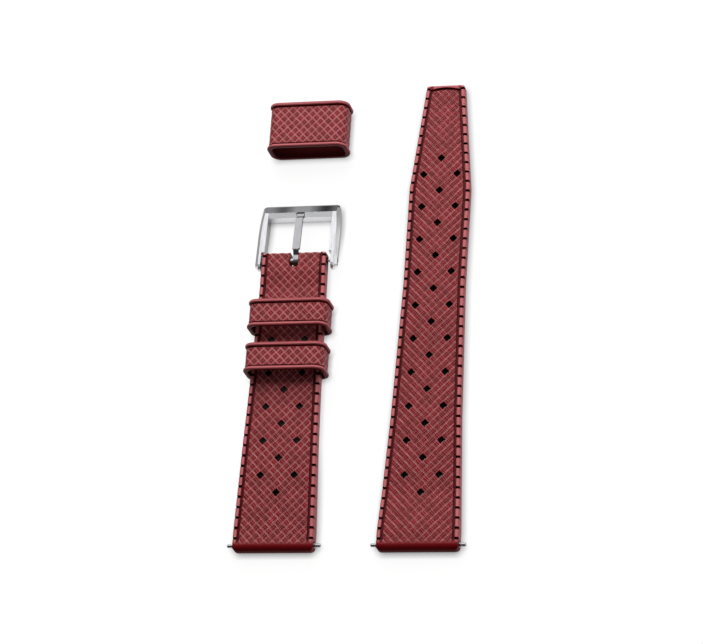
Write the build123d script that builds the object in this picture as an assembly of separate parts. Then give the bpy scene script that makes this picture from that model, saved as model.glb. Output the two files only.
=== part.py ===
import os
from math import asin, atan2, degrees, tan

from build123d import *

# A rubber dive strap in two halves, with a pin buckle, two fitted keepers and one loose keeper.
# Lengths are millimetres. X runs across the strap, Y along it from lug end to free end, Z up.
# The set lies on a table at Z = 0, and the origin is the centre of its footprint.

# Both rubber halves
lug_width = 19.6
lug_thickness = 3.5
lug_straight = 5.0
lug_bend = 1.0
side_bend = 5.0
lug_blend = 14.0
body_thickness = 2.8
plan_corner = 1.2
edge_round = 0.35
rim_width = 1.0
groove_width = 0.6
groove_depth = 0.5
field_drop = 0.25
field_start = 3.2
notch_pitch = 2.5
notch_width = 0.5
notch_depth = 0.55
notch_start = 4.2
hole_pitch = 8.6
hole_side_share = 0.485
hole_diagonal = 2.0
first_hole = 14.45
hole_end_margin = 15.0
nose_share = 0.49

# Long half
long_length = 120.0
long_shoulder_width = 16.9
long_waist_width = 15.0
long_tip_width = 9.4
long_shoulder_share = 0.28
long_waist_start_share = 0.56
long_waist_end_share = 0.77
long_profile_bend_share = 0.25
tip_bar = 1.5
tip_arch = 0.9

# Short half
short_length = 75.8
short_middle_width = 17.4
short_end_width = 16.0
short_middle_share = 0.53
short_profile_bend_share = 0.33
buckle_end_thickness = 3.3
buckle_end_round = 0.6
buckle_bar_inset = 1.95
buckle_blend = 9.0
rise_start = 4.5
rise_end = 27.0
slot_side_gap = 0.2
slot_gap = 0.45
slot_corner = 0.6

# Keepers
keeper_side_gap = 0.3
keeper_side_slack = 0.2
keeper_head_room = 0.1
keeper_travel = 3.0
keeper_wall = 0.8
keeper_rim = 0.4
keeper_rim_length = 0.9
keeper_rim_bevel_share = 0.5
keeper_corner = 1.45
keeper_floor_corner = 0.3
keeper_foot_corner = 1.9
keeper_gap = 0.1
keeper_length = 7.0
keeper_upper_place = 58.8
keeper_lower_place = 47.5
spare_length = 12.1
spare_side_step = 1.5
spare_gap = 32.8

# Spring bars
bar_radius = 0.9
bar_bore_clearance = 0.05
bar_wall = 0.2
crimp_length = 0.4
neck_radius = 0.28
head_clearance = 0.08
head_length = 0.6
shoulder_radius = 0.72
shoulder_length = 0.35
tip_radius = 0.45
tip_length = 1.3
tip_chamfer = 0.14
slide_clearance = 0.05
lug_travel = 1.35
buckle_travel = 1.2
spring_side_clearance = 0.05
spring_wire = 0.18
spring_end_clearance = 0.02

# Buckle frame and tongue
frame_reach = 15.2
frame_height = 2.8
frame_ear_recess = 0.75
frame_taper_width = 0.65
frame_taper_length = 6.0
frame_taper_bend = 2.5
ear_gap = 0.85
ear_wall = 1.45
ear_end = 2.4
ear_step = 2.1
frame_bar_width = 3.45
frame_bevel_width = 2.2
frame_bevel_drop = 0.6
frame_face_drop = 0.45
frame_corner = 0.9
frame_ear_round_share = 0.464
frame_side_bevel = 0.85
buckle_shift = 0.4
table_gap = 0.05
ear_hole_clearance = 0.05
tongue_width = 1.8
tongue_root_width = 1.3
tongue_thickness = 0.75
tongue_loop_clearance = 0.06
tongue_loop_wall = 0.45
tongue_step_start = 1.35
tongue_step_end = 2.5
tongue_step_lead = 0.25
tongue_rise = 0.75
tongue_bend_run = 0.6
tongue_tip_thickness = 0.45
tongue_seat = 0.05
tongue_notch_clearance = 0.15
tongue_notch_depth = 0.75
tongue_bend_shares = (0, 0.4, 0.6, 0.6, 0.3, 0.1, 0.1, 0.3, 0.9, 0.9, 0.4, 0)

# Places of the three loose pieces on the table
strap_spacing = 34.85

# One overrun for every cut
overrun = 2.0

lug_bar_height = lug_thickness / 2
lug_bar_inset = lug_thickness / 2
strap_rise = keeper_rim + keeper_wall + keeper_gap
buckle_bar_height = strap_rise + buckle_end_thickness / 2
buckle_bar_place = short_length - buckle_bar_inset
slot_width = tongue_width + 2 * slot_side_gap
ear_inner_width = short_end_width + 2 * ear_gap
frame_ear_width = ear_inner_width + 2 * ear_wall
frame_window_width = ear_inner_width - 2 * frame_ear_recess
frame_far_width = frame_ear_width - 2 * frame_taper_width
frame_window_end = frame_reach - frame_bar_width
tongue_hole = bar_radius + tongue_loop_clearance
tongue_loop = tongue_hole + tongue_loop_wall
tube_inside = bar_radius - bar_wall
keeper_inner_height = 2 * body_thickness + keeper_head_room
tall = keeper_inner_height + lug_thickness + overrun
long_origin = (strap_spacing / 2, -long_length / 2)
short_origin = (-strap_spacing / 2, -long_length / 2)
spare_origin = (short_origin[0] + spare_side_step, short_origin[1] + short_length + spare_gap)


def side_points_long():
    """Half widths of the long half, as (x, y) from the lug end to the tip."""
    return [
        (lug_width / 2, lug_straight),
        (long_shoulder_width / 2, long_shoulder_share * long_length),
        (long_waist_width / 2, long_waist_start_share * long_length),
        (long_waist_width / 2, long_waist_end_share * long_length),
        (long_tip_width / 2, long_length),
    ]


def side_points_short():
    """Half widths of the short half, as (x, y) from the lug end to the buckle end."""
    return [
        (lug_width / 2, lug_straight),
        (short_middle_width / 2, short_middle_share * short_length),
        (short_end_width / 2, short_length),
    ]


def half_width(points, y):
    """Half width at y, read along the straight runs between the points."""
    if y <= points[0][1]:
        return points[0][0]
    for (x0, y0), (x1, y1) in zip(points, points[1:]):
        if y <= y1:
            return x0 + (x1 - x0) * (y - y0) / (y1 - y0)
    return points[-1][0]


def bend_radius(before, corner, after, reach):
    """Radius of the bend at a corner that starts and ends at reach from it."""
    heading_in = atan2(corner[0] - before[0], corner[1] - before[1])
    heading_out = atan2(after[0] - corner[0], after[1] - corner[1])
    return reach / tan(abs(heading_out - heading_in) / 2)


def plan_face(points, inset, start, end, arch, corner):
    """Plan outline between start and end, drawn in by inset, with an arched far end."""
    bends = [(x - inset, y) for x, y in points[:-1] if start < y]
    first = (half_width(points, start) - inset, start)
    far = (half_width(points, end) - inset, end - arch)
    right = [first] + bends + [far]
    reaches = [lug_bend] + [side_bend] * (len(bends) - 1)
    corners = zip(right, bends, right[2:], reaches)
    radii = [bend_radius(before, corner, after, reach) for before, corner, after, reach in corners]
    side = FilletPolyline(*right, radius=radii)
    edges = [side, mirror(side, about=Plane.YZ)]
    if arch:
        edges.append(ThreePointArc(far, (0, end), (-far[0], far[1])))
    else:
        edges.append(Line(far, (-far[0], far[1])))
    edges.append(Line(right[0], (-right[0][0], right[0][1])))
    face = make_face(edges)
    if corner:
        by_place = face.vertices().group_by(Axis.Y)
        face = fillet(by_place[0] + by_place[-1], corner)
    return face


def profile_solid(points, radii):
    """Side view of a strap half, as a closed (y, z) outline, extruded right across it."""
    outline = FilletPolyline(*points, radius=radii, close=True)
    face = Plane.YZ * make_face(outline)
    return extrude(face, amount=lug_width, both=True)


def long_profile():
    """The long half lies flat: a thick lug end, then an even body to the tip."""
    points = [
        (0, 0),
        (long_length, 0),
        (long_length, body_thickness),
        (lug_blend, body_thickness),
        (lug_straight, lug_thickness),
        (0, lug_thickness),
    ]
    nose = nose_share * lug_thickness
    bend = long_profile_bend_share * long_length
    return profile_solid(points, [nose, edge_round, edge_round, bend, bend, nose])


def short_profile():
    """The short half rises from the table at its lug end to lie in its keepers."""
    top = strap_rise + body_thickness
    end_top = strap_rise + buckle_end_thickness
    points = [
        (0, 0),
        (rise_start, 0),
        (rise_end, strap_rise),
        (short_length, strap_rise),
        (short_length, end_top),
        (short_length - lug_straight, end_top),
        (short_length - buckle_blend, top),
        (rise_end, top),
        (rise_start, lug_thickness),
        (0, lug_thickness),
    ]
    nose = nose_share * lug_thickness
    end = buckle_end_round
    bend = short_profile_bend_share * short_length
    soft = buckle_blend
    return profile_solid(points, [nose, bend, bend, end, end, soft, soft, bend, bend, nose])


def hole_places(length):
    """Centre holes one pitch apart, and between each two a pair that is half a pitch on."""
    count = int((length - first_hole - hole_end_margin) / hole_pitch) + 1
    side = hole_side_share * hole_pitch
    places = [(0, first_hole + k * hole_pitch) for k in range(count)]
    for k in range(count - 1):
        y = first_hole + (k + 1 / 2) * hole_pitch
        places += [(-side, y), (side, y)]
    return places


def notch_faces(points, length):
    """Short slots across both rims, about one pitch apart."""
    faces = []
    count = int((length - 2 * notch_start) / notch_pitch) + 1
    step = (length - 2 * notch_start) / (count - 1)
    reach = rim_width + overrun
    for k in range(count):
        y = notch_start + k * step
        x = half_width(points, y) - rim_width + reach / 2
        faces += [Pos(side * x, y) * Rectangle(reach, notch_width) for side in (-1, 1)]
    return faces


def perforated_strap(profile, points, length, field_end, field_arch):
    """One moulded half: body, sunk field inside a notched rim, and diamond holes right through."""
    body = extrude(plan_face(points, 0, 0, length, 0, plan_corner), amount=tall)
    body = body & profile
    inner_inset = rim_width + groove_width
    inner_start = field_start + groove_width
    inner_end = field_end - groove_width
    field = plan_face(points, rim_width, field_start, field_end, field_arch, 0)
    inner = plan_face(points, inner_inset, inner_start, inner_end, field_arch, 0)
    half = body_thickness / 2
    field_block = Pos(0, 0, half) * extrude(field, amount=tall)
    inner_block = Pos(0, 0, half) * extrude(inner, amount=tall)
    body -= field_block - Pos(0, 0, -field_drop) * profile
    body -= (field_block - inner_block) - Pos(0, 0, -groove_depth) * profile
    notches = Pos(0, 0, half) * extrude(Sketch() + notch_faces(points, length), amount=tall)
    body -= notches - Pos(0, 0, -notch_depth) * profile
    side = hole_diagonal / 2 ** 0.5
    holes = [Pos(x, y) * Rectangle(side, side, rotation=45) for x, y in hole_places(length)]
    body -= extrude(Sketch() + holes, amount=tall)
    return body


def bore(y, z):
    """Round hole for a spring bar, right across a strap half."""
    return Pos(0, y, z) * Rot(0, 90, 0) * Cylinder(bar_radius + bar_bore_clearance, lug_width + overrun)


def make_strap_long():
    """The long half ends in a raised bar whose inner edge is arched."""
    field_end = long_length - tip_bar
    strap = perforated_strap(long_profile(), side_points_long(), long_length, field_end, tip_arch)
    return strap - bore(lug_bar_inset, lug_bar_height)


def make_strap_short():
    """The short half's field runs right out to its buckle end, where a slot lets the tongue swing."""
    field_end = short_length + overrun
    strap = perforated_strap(short_profile(), side_points_short(), short_length, field_end, 0)
    strap -= bore(lug_bar_inset, lug_bar_height)
    strap -= bore(buckle_bar_place, buckle_bar_height)
    inner_end = buckle_bar_place - tongue_loop - slot_gap
    mouth = short_length + overrun
    outline = FilletPolyline(
        (-slot_width / 2, mouth),
        (-slot_width / 2, inner_end),
        (slot_width / 2, inner_end),
        (slot_width / 2, mouth),
        radius=[0, slot_corner, slot_corner, 0],
        close=True,
    )
    return strap - extrude(make_face(outline), amount=tall)


def rounded_section(width, height, low_corner, high_corner):
    """Rectangle about the origin with its two low corners rounded apart from its two high ones."""
    x = width / 2
    z = height / 2
    radii = [low_corner, low_corner, high_corner, high_corner]
    return make_face(FilletPolyline((-x, -z), (x, -z), (x, z), (-x, z), radius=radii, close=True))


def make_keeper(length, floor_corner, foot_corner):
    """A moulded loop with a bead round each mouth, centred on its length and standing on Z = 0."""
    lowest = keeper_lower_place - keeper_length / 2 - keeper_travel
    inner_width = 2 * (half_width(side_points_short(), lowest) + keeper_side_gap)
    width = inner_width + 2 * keeper_wall
    height = keeper_inner_height + 2 * keeper_wall
    wide = width + 2 * keeper_rim
    high = height + 2 * keeper_rim
    high_corner = keeper_corner + keeper_wall
    outer = rounded_section(width, height, foot_corner, high_corner)
    inner = rounded_section(inner_width, keeper_inner_height, floor_corner, keeper_corner)
    bead = rounded_section(wide, high, foot_corner + keeper_rim, high_corner + keeper_rim)
    loop = extrude(outer, amount=length / 2, both=True)
    rim = extrude(bead, amount=keeper_rim_length / 2, both=True)
    rim = chamfer(rim.faces().sort_by(Axis.Z)[-1].edges(), keeper_rim_bevel_share * keeper_rim)
    rim = Pos(0, 0, (length - keeper_rim_length) / 2) * rim
    loop += [rim, mirror(rim, about=Plane.XY)]
    loop -= extrude(inner, amount=length, both=True)
    return Pos(0, 0, height / 2 + keeper_rim) * Rot(90, 0, 0) * loop


def revolve_bar(points):
    """Turns a closed (x, r) outline round the X axis."""
    return revolve(make_face(Polyline(*points, close=True)), Axis.X, 360)


def bar_sizes(span, travel):
    """Tube end and head place of a bar whose shoulders stand span apart."""
    shoulder_inner = span / 2 - shoulder_length
    tube_end = shoulder_inner - travel
    head_outer = tube_end - crimp_length - slide_clearance
    return shoulder_inner, tube_end, head_outer


def make_tube(span, travel):
    """Rolled steel tube with a turned-in lip at each end that holds the pins."""
    _, end, _ = bar_sizes(span, travel)
    lip = neck_radius + slide_clearance
    return revolve_bar(
        [
            (-end, lip),
            (-end, bar_radius),
            (end, bar_radius),
            (end, lip),
            (end - crimp_length, lip),
            (end - crimp_length, tube_inside),
            (crimp_length - end, tube_inside),
            (crimp_length - end, lip),
        ]
    )


def make_pin(span, travel, hand):
    """Turned pin: tip, shoulder, neck and the head that the tube's lip holds back."""
    shoulder_inner, _, head_outer = bar_sizes(span, travel)
    shoulder_outer = span / 2
    tip_end = shoulder_outer + tip_length
    head_radius = tube_inside - head_clearance
    pin = revolve_bar(
        [
            (head_outer - head_length, 0),
            (head_outer - head_length, head_radius),
            (head_outer, head_radius),
            (head_outer, neck_radius),
            (shoulder_inner, neck_radius),
            (shoulder_inner, shoulder_radius),
            (shoulder_outer, shoulder_radius),
            (shoulder_outer, tip_radius),
            (tip_end - tip_chamfer, tip_radius),
            (tip_end, tip_radius - tip_chamfer),
            (tip_end, 0),
        ]
    )
    return pin if hand > 0 else Rot(0, 0, 180) * pin


def make_spring(span, travel):
    """The coil spring that nothing shows: a sleeve of its outer size between the two heads."""
    _, _, head_outer = bar_sizes(span, travel)
    end = head_outer - head_length - spring_end_clearance
    outside = tube_inside - spring_side_clearance
    inside = outside - spring_wire
    return revolve_bar([(-end, inside), (-end, outside), (end, outside), (end, inside)])


def place_bar(name, span, travel, place):
    """Files one spring bar as its four pieces."""
    return {
        name + "_tube": place * make_tube(span, travel),
        name + "_pin_left": place * make_pin(span, travel, -1),
        name + "_pin_right": place * make_pin(span, travel, 1),
        name + "_spring": place * make_spring(span, travel),
    }


def frame_plan():
    """Outline of the buckle from above: a U whose arms run straight, then draw in to the far bar."""
    start = (frame_ear_width / 2, -ear_end)
    bend = (frame_ear_width / 2, frame_reach - frame_taper_length)
    far = (frame_far_width / 2, frame_reach)
    side = FilletPolyline(start, bend, far, radius=bend_radius(start, bend, far, frame_taper_bend))
    ends = [Line((-x, y), (x, y)) for x, y in (start, far)]
    outer = make_face([side, mirror(side, about=Plane.YZ)] + ends)
    outer = fillet(outer.vertices().group_by(Axis.Y)[-1], frame_corner)
    window = Pos(0, frame_window_end - frame_reach) * Rectangle(frame_window_width, 2 * frame_reach)
    ears = Pos(0, ear_step - frame_reach) * Rectangle(ear_inner_width, 2 * frame_reach)
    return outer - window - ears


def frame_bar_bevels():
    """What is cut off the far bar's top: a steep outer bevel and a shallow inner face."""
    top = frame_height / 2
    above = top + overrun
    ridge = frame_reach - frame_bevel_width
    past = frame_reach + overrun
    bevel_slope = frame_bevel_drop / frame_bevel_width
    bevel_end = (past, top - bevel_slope * (past - ridge))
    face_end = (frame_window_end, top - frame_face_drop)
    bevel = make_face(Polyline((ridge, top), bevel_end, (past, above), (ridge, above), close=True))
    face = make_face(Polyline((ridge, top), face_end, (frame_window_end, above), (ridge, above), close=True))
    cut = extrude(Plane.YZ * bevel, amount=frame_ear_width, both=True)
    return cut + extrude(Plane.YZ * face, amount=frame_window_width / 2, both=True)


def make_frame():
    """Buckle frame about the bar's axis: two ears, two arms and the bevelled far bar."""
    top = frame_height / 2
    frame = Pos(0, 0, -top) * extrude(frame_plan(), amount=frame_height)
    ear_edges = frame.edges().filter_by(Axis.X).group_by(Axis.Y)[0]
    frame = fillet(ear_edges, frame_ear_round_share * frame_height)
    top_edges = frame.faces().sort_by(Axis.Z)[-1].edges()
    arm_middle = (frame_window_width + frame_ear_width) / 4
    arm_end = frame_reach - frame_corner
    outer_edges = [edge for edge in top_edges if abs(edge.center().X) > arm_middle]
    side_edges = [edge for edge in outer_edges if edge.center().Y < arm_end]
    frame = chamfer(side_edges, frame_side_bevel)
    frame -= frame_bar_bevels()
    notch_length = frame_bar_width - frame_bevel_width
    notch_middle = frame_window_end + notch_length / 2
    notch_across = tongue_width + 2 * tongue_notch_clearance
    frame -= Pos(0, notch_middle, top) * Box(notch_across, notch_length, 2 * tongue_notch_depth)
    hole = Cylinder(tip_radius + ear_hole_clearance, frame_ear_width + overrun)
    return frame - Rot(0, 90, 0) * hole


def tongue_side():
    """Side view of the tongue's strip, as a closed (y, z) outline."""
    low = tongue_loop - tongue_thickness
    high = low + tongue_rise
    seat = frame_height / 2 - tongue_notch_depth + tongue_seat
    bend = frame_window_end - tongue_bend_run
    tip = frame_reach - frame_bevel_width - tongue_notch_clearance
    points = [
        (0, low),
        (tongue_step_start, low),
        (tongue_step_end, high),
        (bend, high),
        (frame_window_end, seat),
        (tip, seat),
        (tip, seat + tongue_tip_thickness),
        (frame_window_end, seat + tongue_thickness),
        (bend, high + tongue_thickness),
        (tongue_step_end - tongue_step_lead, high + tongue_thickness),
        (tongue_step_start - tongue_step_lead, low + tongue_thickness),
        (0, low + tongue_thickness),
    ]
    radii = [share * tongue_thickness for share in tongue_bend_shares]
    return FilletPolyline(*points, radius=radii, close=True)


def make_tongue():
    """Bent strip: a loop on the bar, a step up and a flat shank whose tip lies in the far bar's notch."""
    shank = extrude(Plane.YZ * make_face(tongue_side()), amount=tongue_width / 2, both=True)
    ring = Rot(0, 90, 0) * Cylinder(tongue_loop, tongue_root_width)
    blank = (tongue_width - tongue_root_width) / 2 + overrun
    for side in (-1, 1):
        middle = side * (tongue_root_width + blank) / 2
        shank -= Pos(middle, 0) * Box(blank, 2 * tongue_step_end, 2 * (tongue_loop + overrun))
    hole = Rot(0, 90, 0) * Cylinder(tongue_hole, tongue_width + overrun)
    return ring + shank - hole


def frame_tilt():
    """Angle at which the far bar rests on the table, in degrees."""
    drop = buckle_bar_height - frame_height / 2 - table_gap
    return degrees(asin(drop / frame_reach))


def make_pieces():
    """Every piece by name, in its place on the table."""
    at_long = Pos(long_origin[0], long_origin[1], 0)
    at_short = Pos(short_origin[0], short_origin[1], 0)
    at_buckle_bar = at_short * Pos(buckle_shift, buckle_bar_place, buckle_bar_height)
    at_frame = at_buckle_bar * Rot(-frame_tilt(), 0, 0)
    at_upper = at_short * Pos(keeper_side_slack, keeper_upper_place, 0)
    at_lower = at_short * Pos(keeper_side_slack, keeper_lower_place, 0)
    at_spare = Pos(spare_origin[0], spare_origin[1], 0)
    outer_corner = keeper_corner + keeper_wall
    lug_bar = Pos(0, lug_bar_inset, lug_bar_height)
    lug_span = lug_width + 2 * (shoulder_length - slide_clearance)
    ear_span = ear_inner_width - 2 * slide_clearance
    pieces = {
        "strap_long": at_long * make_strap_long(),
        "strap_short": at_short * make_strap_short(),
        "keeper_upper": at_upper * make_keeper(keeper_length, keeper_floor_corner, keeper_foot_corner),
        "keeper_lower": at_lower * make_keeper(keeper_length, keeper_floor_corner, keeper_foot_corner),
        "keeper_spare": at_spare * make_keeper(spare_length, keeper_corner, outer_corner),
        "buckle_frame": at_frame * make_frame(),
        "buckle_tongue": at_frame * make_tongue(),
    }
    pieces.update(place_bar("lug_bar_long", lug_span, lug_travel, at_long * lug_bar))
    pieces.update(place_bar("lug_bar_short", lug_span, lug_travel, at_short * lug_bar))
    pieces.update(place_bar("buckle_bar", ear_span, buckle_travel, at_buckle_bar))
    return pieces


os.makedirs("parts", exist_ok=True)
for node, solid in make_pieces().items():
    export_step(solid, "parts/" + node + ".step")
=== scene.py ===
from math import copysign, cos, pi, radians, sin, sqrt

import bpy
import numpy as np
from mathutils import Matrix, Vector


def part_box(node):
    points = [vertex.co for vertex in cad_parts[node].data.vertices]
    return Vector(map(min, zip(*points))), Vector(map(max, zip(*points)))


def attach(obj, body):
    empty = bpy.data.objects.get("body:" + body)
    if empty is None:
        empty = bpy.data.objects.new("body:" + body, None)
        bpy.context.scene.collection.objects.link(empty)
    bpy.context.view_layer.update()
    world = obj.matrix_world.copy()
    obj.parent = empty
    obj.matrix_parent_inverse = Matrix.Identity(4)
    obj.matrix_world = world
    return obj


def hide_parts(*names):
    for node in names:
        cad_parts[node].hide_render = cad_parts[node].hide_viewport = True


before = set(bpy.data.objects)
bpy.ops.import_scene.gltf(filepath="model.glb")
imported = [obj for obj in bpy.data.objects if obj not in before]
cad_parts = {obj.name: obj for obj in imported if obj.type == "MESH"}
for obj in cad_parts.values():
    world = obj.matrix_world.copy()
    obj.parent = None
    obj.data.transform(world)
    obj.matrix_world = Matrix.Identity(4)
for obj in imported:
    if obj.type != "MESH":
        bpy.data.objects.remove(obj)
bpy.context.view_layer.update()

# The camera stands where the photographer stood: a long lens, high above the table and off to the right of
# the straps, turned so that they stand upright in the picture. The eye's place is in millimetres.
MM = 0.001
photo_width = 703
sensor_width = 36
focal_pixels = 3000
eye = (172.255, -265.0, 652.23)
turn_degrees = (22.3156, 13.4917, 3.9766)
camera_data = bpy.data.cameras.new("photo_camera")
camera_data.sensor_width = sensor_width
camera_data.lens = sensor_width * focal_pixels / photo_width
camera_data.clip_end = 10
camera = bpy.data.objects.new("photo_camera", camera_data)
camera.location = [MM * v for v in eye]
camera.rotation_euler = [radians(v) for v in turn_degrees]
bpy.context.scene.collection.objects.link(camera)
bpy.context.scene.camera = camera
bpy.context.scene.view_settings.view_transform = "Standard"

# The table is a sheet of white card that runs on past the picture. It keeps the soft shadows of the set, with
# a painted contact shadow, a narrow dark line where a piece touches it, and shows white to the lens and in
# the steel.
card_size = 4.0
card_lift = 0.93
painted_contact_shadow_reach = 1.7


def hex_color(code):
    """sRGB hex, as a linear colour with alpha."""
    channels = [int(code[i:i + 2], 16) / 255 for i in (1, 3, 5)]
    return [c / 12.92 if c <= 0.04045 else ((c + 0.055) / 1.055) ** 2.4 for c in channels] + [1]


def add_node(tree, kind, settings=None, links=None):
    """Adds one node. Links maps its inputs to values, to other nodes' first outputs or to named outputs."""
    made = tree.nodes.new(kind)
    for name, value in (settings or {}).items():
        setattr(made, name, value)
    for key, value in (links or {}).items():
        socket = made.inputs[key]
        if isinstance(value, bpy.types.Node):
            value = value.outputs[0]
        if isinstance(value, bpy.types.NodeSocket):
            tree.links.new(value, socket)
        else:
            socket.default_value = value
    return made


def new_material(name):
    """A material and its node tree, which is still empty."""
    material = bpy.data.materials.new(name)
    material.use_nodes = True
    material.node_tree.nodes.clear()
    return material, material.node_tree


def loose_object(name, mesh):
    """Links a mesh to the scene as an object at the origin."""
    made = bpy.data.objects.new(name, mesh)
    bpy.context.scene.collection.objects.link(made)
    return made


card_material, tree = new_material("white_card")
path = add_node(tree, "ShaderNodeLightPath")
seen = add_node(tree, "ShaderNodeMath", {"operation": "MAXIMUM"},
                {0: path.outputs["Is Camera Ray"], 1: path.outputs["Is Glossy Ray"]})
seen = add_node(tree, "ShaderNodeMath", {"operation": "MAXIMUM"},
                {0: seen, 1: path.outputs["Is Transmission Ray"]})
# Painted contact shadow: the white glow fades by ambient occlusion near a piece, which also keeps the card
# dark under the holes.
painted_contact_shadow = add_node(tree, "ShaderNodeAmbientOcclusion", {"samples": 8}, {"Distance": MM * painted_contact_shadow_reach})
glow = add_node(tree, "ShaderNodeMath", {"operation": "MULTIPLY"}, {0: seen, 1: card_lift})
glow = add_node(tree, "ShaderNodeMath", {"operation": "MULTIPLY"}, {0: glow, 1: painted_contact_shadow.outputs["AO"]})
paper = add_node(tree, "ShaderNodeBsdfDiffuse", {}, {"Color": hex_color("#605f5e")})
light = add_node(tree, "ShaderNodeEmission", {}, {"Strength": glow})
card_surface = add_node(tree, "ShaderNodeAddShader", {}, {0: paper, 1: light})
add_node(tree, "ShaderNodeOutputMaterial", {}, {"Surface": card_surface})
reach = card_size / 2
card_corners = [(-reach, -reach, 0), (reach, -reach, 0), (reach, reach, 0), (-reach, reach, 0)]
card_mesh = bpy.data.meshes.new("card")
card_mesh.from_pydata(card_corners, [], [(0, 1, 2, 3)])
card_mesh.materials.append(card_material)
loose_object("card", card_mesh)

# Two wide soft boxes light the set, a large one above and behind it and a smaller one at its right. The room
# is pale above and behind and dark in front, so the steel has something to reflect. Places are in metres.
lamps = {
    "soft_box_above": {"place": (-0.08, 0.5, 0.4), "size": 0.7, "watts": 5.2},
    "soft_box_right": {"place": (0.9, 0.35, 0.3), "size": 0.5, "watts": 3.4},
}
pale_side = (-0.1, 0.6, 0.8)
room_darkest = 0.01
room_palest = 0.34
for name, lamp in lamps.items():
    lamp_data = bpy.data.lights.new(name, "AREA")
    lamp_data.shape = "SQUARE"
    lamp_data.size = lamp["size"]
    lamp_data.energy = lamp["watts"]
    soft_box = bpy.data.objects.new(name, lamp_data)
    soft_box.location = lamp["place"]
    towards_set = -soft_box.location
    soft_box.rotation_euler = towards_set.to_track_quat("-Z", "Y").to_euler()
    bpy.context.scene.collection.objects.link(soft_box)
world = bpy.data.worlds.new("pale_room")
world.use_nodes = True
tree = world.node_tree
tree.nodes.clear()
direction = add_node(tree, "ShaderNodeTexCoord").outputs["Generated"]
facing = add_node(tree, "ShaderNodeVectorMath", {"operation": "DOT_PRODUCT"}, {0: direction, 1: pale_side})
brightness = add_node(tree, "ShaderNodeMapRange", {"interpolation_type": "SMOOTHSTEP"},
                      {"Value": facing.outputs["Value"], "To Min": room_darkest, "To Max": room_palest})
room = add_node(tree, "ShaderNodeBackground", {}, {"Color": hex_color("#f4f4f6"), "Strength": brightness})
add_node(tree, "ShaderNodeOutputWorld", {}, {"Surface": room})
bpy.context.scene.world = world

# The two halves are compression-moulded rubber. The mould gives the top its woven field, sunk inside a rim
# that is notched all along, and the diamond holes and the bores for the spring bars go right through. Each
# half is made in millimetres from its lug end, and gets its place and its size in metres when it is finished.
lug_width = 19.6
lug_thickness = 3.5
lug_straight = 5.0
body_thickness = 2.8
lug_bore = (1.75, 1.75)
bore_radius = 0.95
plan_corner = 1.2
far_plan_corner = 0.5
nose_share = 0.49
nose_steps = 7
rim_width = 1.0
groove_width = 0.6
groove_depth = 0.5
lip_lap = 0.02
field_drop = 0.25
field_start = 1.6
field_settle = 1.0
bow_reach = 1.6
# The holes stand in three rows, one in the middle and one on each side that lies half a pitch further on.
hole_pitch = 8.6
hole_side = 4.171
hole_diagonal = 2.0
hole_draft = 0.14
first_hole = 14.45
hole_margin = 15.0
# Notches are cut across the rim by blocks that reach past its edge. Each half has a whole number of steps.
notch_pitch = 2.54
notch_width = 0.6
notch_depth = 0.55
notch_reach = 2.0
last_notch_inset = 0.95
# The weave has four cells to a hole's pitch, and the mesh twelve steps to a cell. No step ends nearer to a
# lip or an edge than these shares of a step.
cells_per_pitch = 4
steps_per_cell = 12
cell_along = hole_pitch / cells_per_pitch
cell_across = hole_side * 2 / cells_per_pitch
step_along = cell_along / steps_per_cell
step_across = cell_across / steps_per_cell
lip_clearance = 0.4
edge_clearance = 0.35
chance_seed = 0.0
sharp_angle = 50
# Across the rim, from the groove's inner wall to the crown and down the outer side: inset from the outer
# edge, drop from the top or rise from the bottom, then the shares of the groove's painted shade and the rim's
# painted sheen.
# Painted sheen: the rim's crown, its outer wall and the tip bar are mixed towards pale pink, standing in for
# light that catches them.
wall_sheen = 0.7
# Painted shade: the groove's floor and inner wall are mixed towards a dark colour by this share.
groove_shade_share = 0.65
groove_points = [
    (rim_width + groove_width, groove_depth, 1.0, 0.0),
    (rim_width, groove_depth, 1.0, 0.0),
    (rim_width, 0.22, 0.0, 0.0),
    (0.92, 0.08, 0.0, 0.3),
    (0.72, 0.0, 0.0, 1.0),
]
side_points = [
    (0.4, 0.0, 1.0),
    (0.15, 0.07, wall_sheen),
    (0.03, 0.22, wall_sheen),
    (0.0, 0.5, wall_sheen),
]
foot_points = [(0.0, 0.5, wall_sheen), (0.03, 0.22, wall_sheen), (0.2, 0.03, 0.0), (0.5, 0.0, 0.0)]


def rows_along(length, far_nose, field_end):
    """Places of the cross sections along a half, each with its pinch where the ends are rounded. The others
    keep in step with the weave, and four more make the lips of the groove at the field's end."""
    nose = nose_share * lug_thickness
    turns = [pi / 2 * k / nose_steps for k in range(nose_steps + 1)]
    rows = [(nose * (1 - cos(turn)), nose * (1 - sin(turn))) for turn in turns[:-1]]
    nose_end = rows[-1][0] + step_along
    lips = []
    if field_end <= length:
        groove_start = field_end - groove_width
        lips = [groove_start, groove_start + lip_lap, field_end - lip_lap, field_end]
    start = first_hole + cell_along * (1 / 2 / steps_per_cell - 1 / 2)
    steps_back = int(start / step_along)
    steps_on = int((length - start) / step_along)
    steady = [start + k * step_along for k in range(-steps_back, steps_on + 1)]
    steady = [v for v in steady if nose_end < v < length - far_nose - step_along / 2]
    steady = [v for v in steady if all(abs(v - lip) > lip_clearance * step_along for lip in lips)]
    rows += [(v, 0.0) for v in sorted(steady + lips)]
    rows += [(length - far_nose * (1 - sin(turn)), far_nose * (1 - cos(turn))) for turn in turns]
    return rows


def half_width_at(plan, v, length):
    """Half width at v, drawn in at the rounded corners of the plan."""
    width = float(np.interp(v, [p[1] for p in plan], [p[0] for p in plan]))
    for edge, radius in ((v, plan_corner), (length - v, far_plan_corner)):
        if edge < radius:
            width -= radius - sqrt(max(radius ** 2 - (radius - edge) ** 2, 0))
    return width


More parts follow.
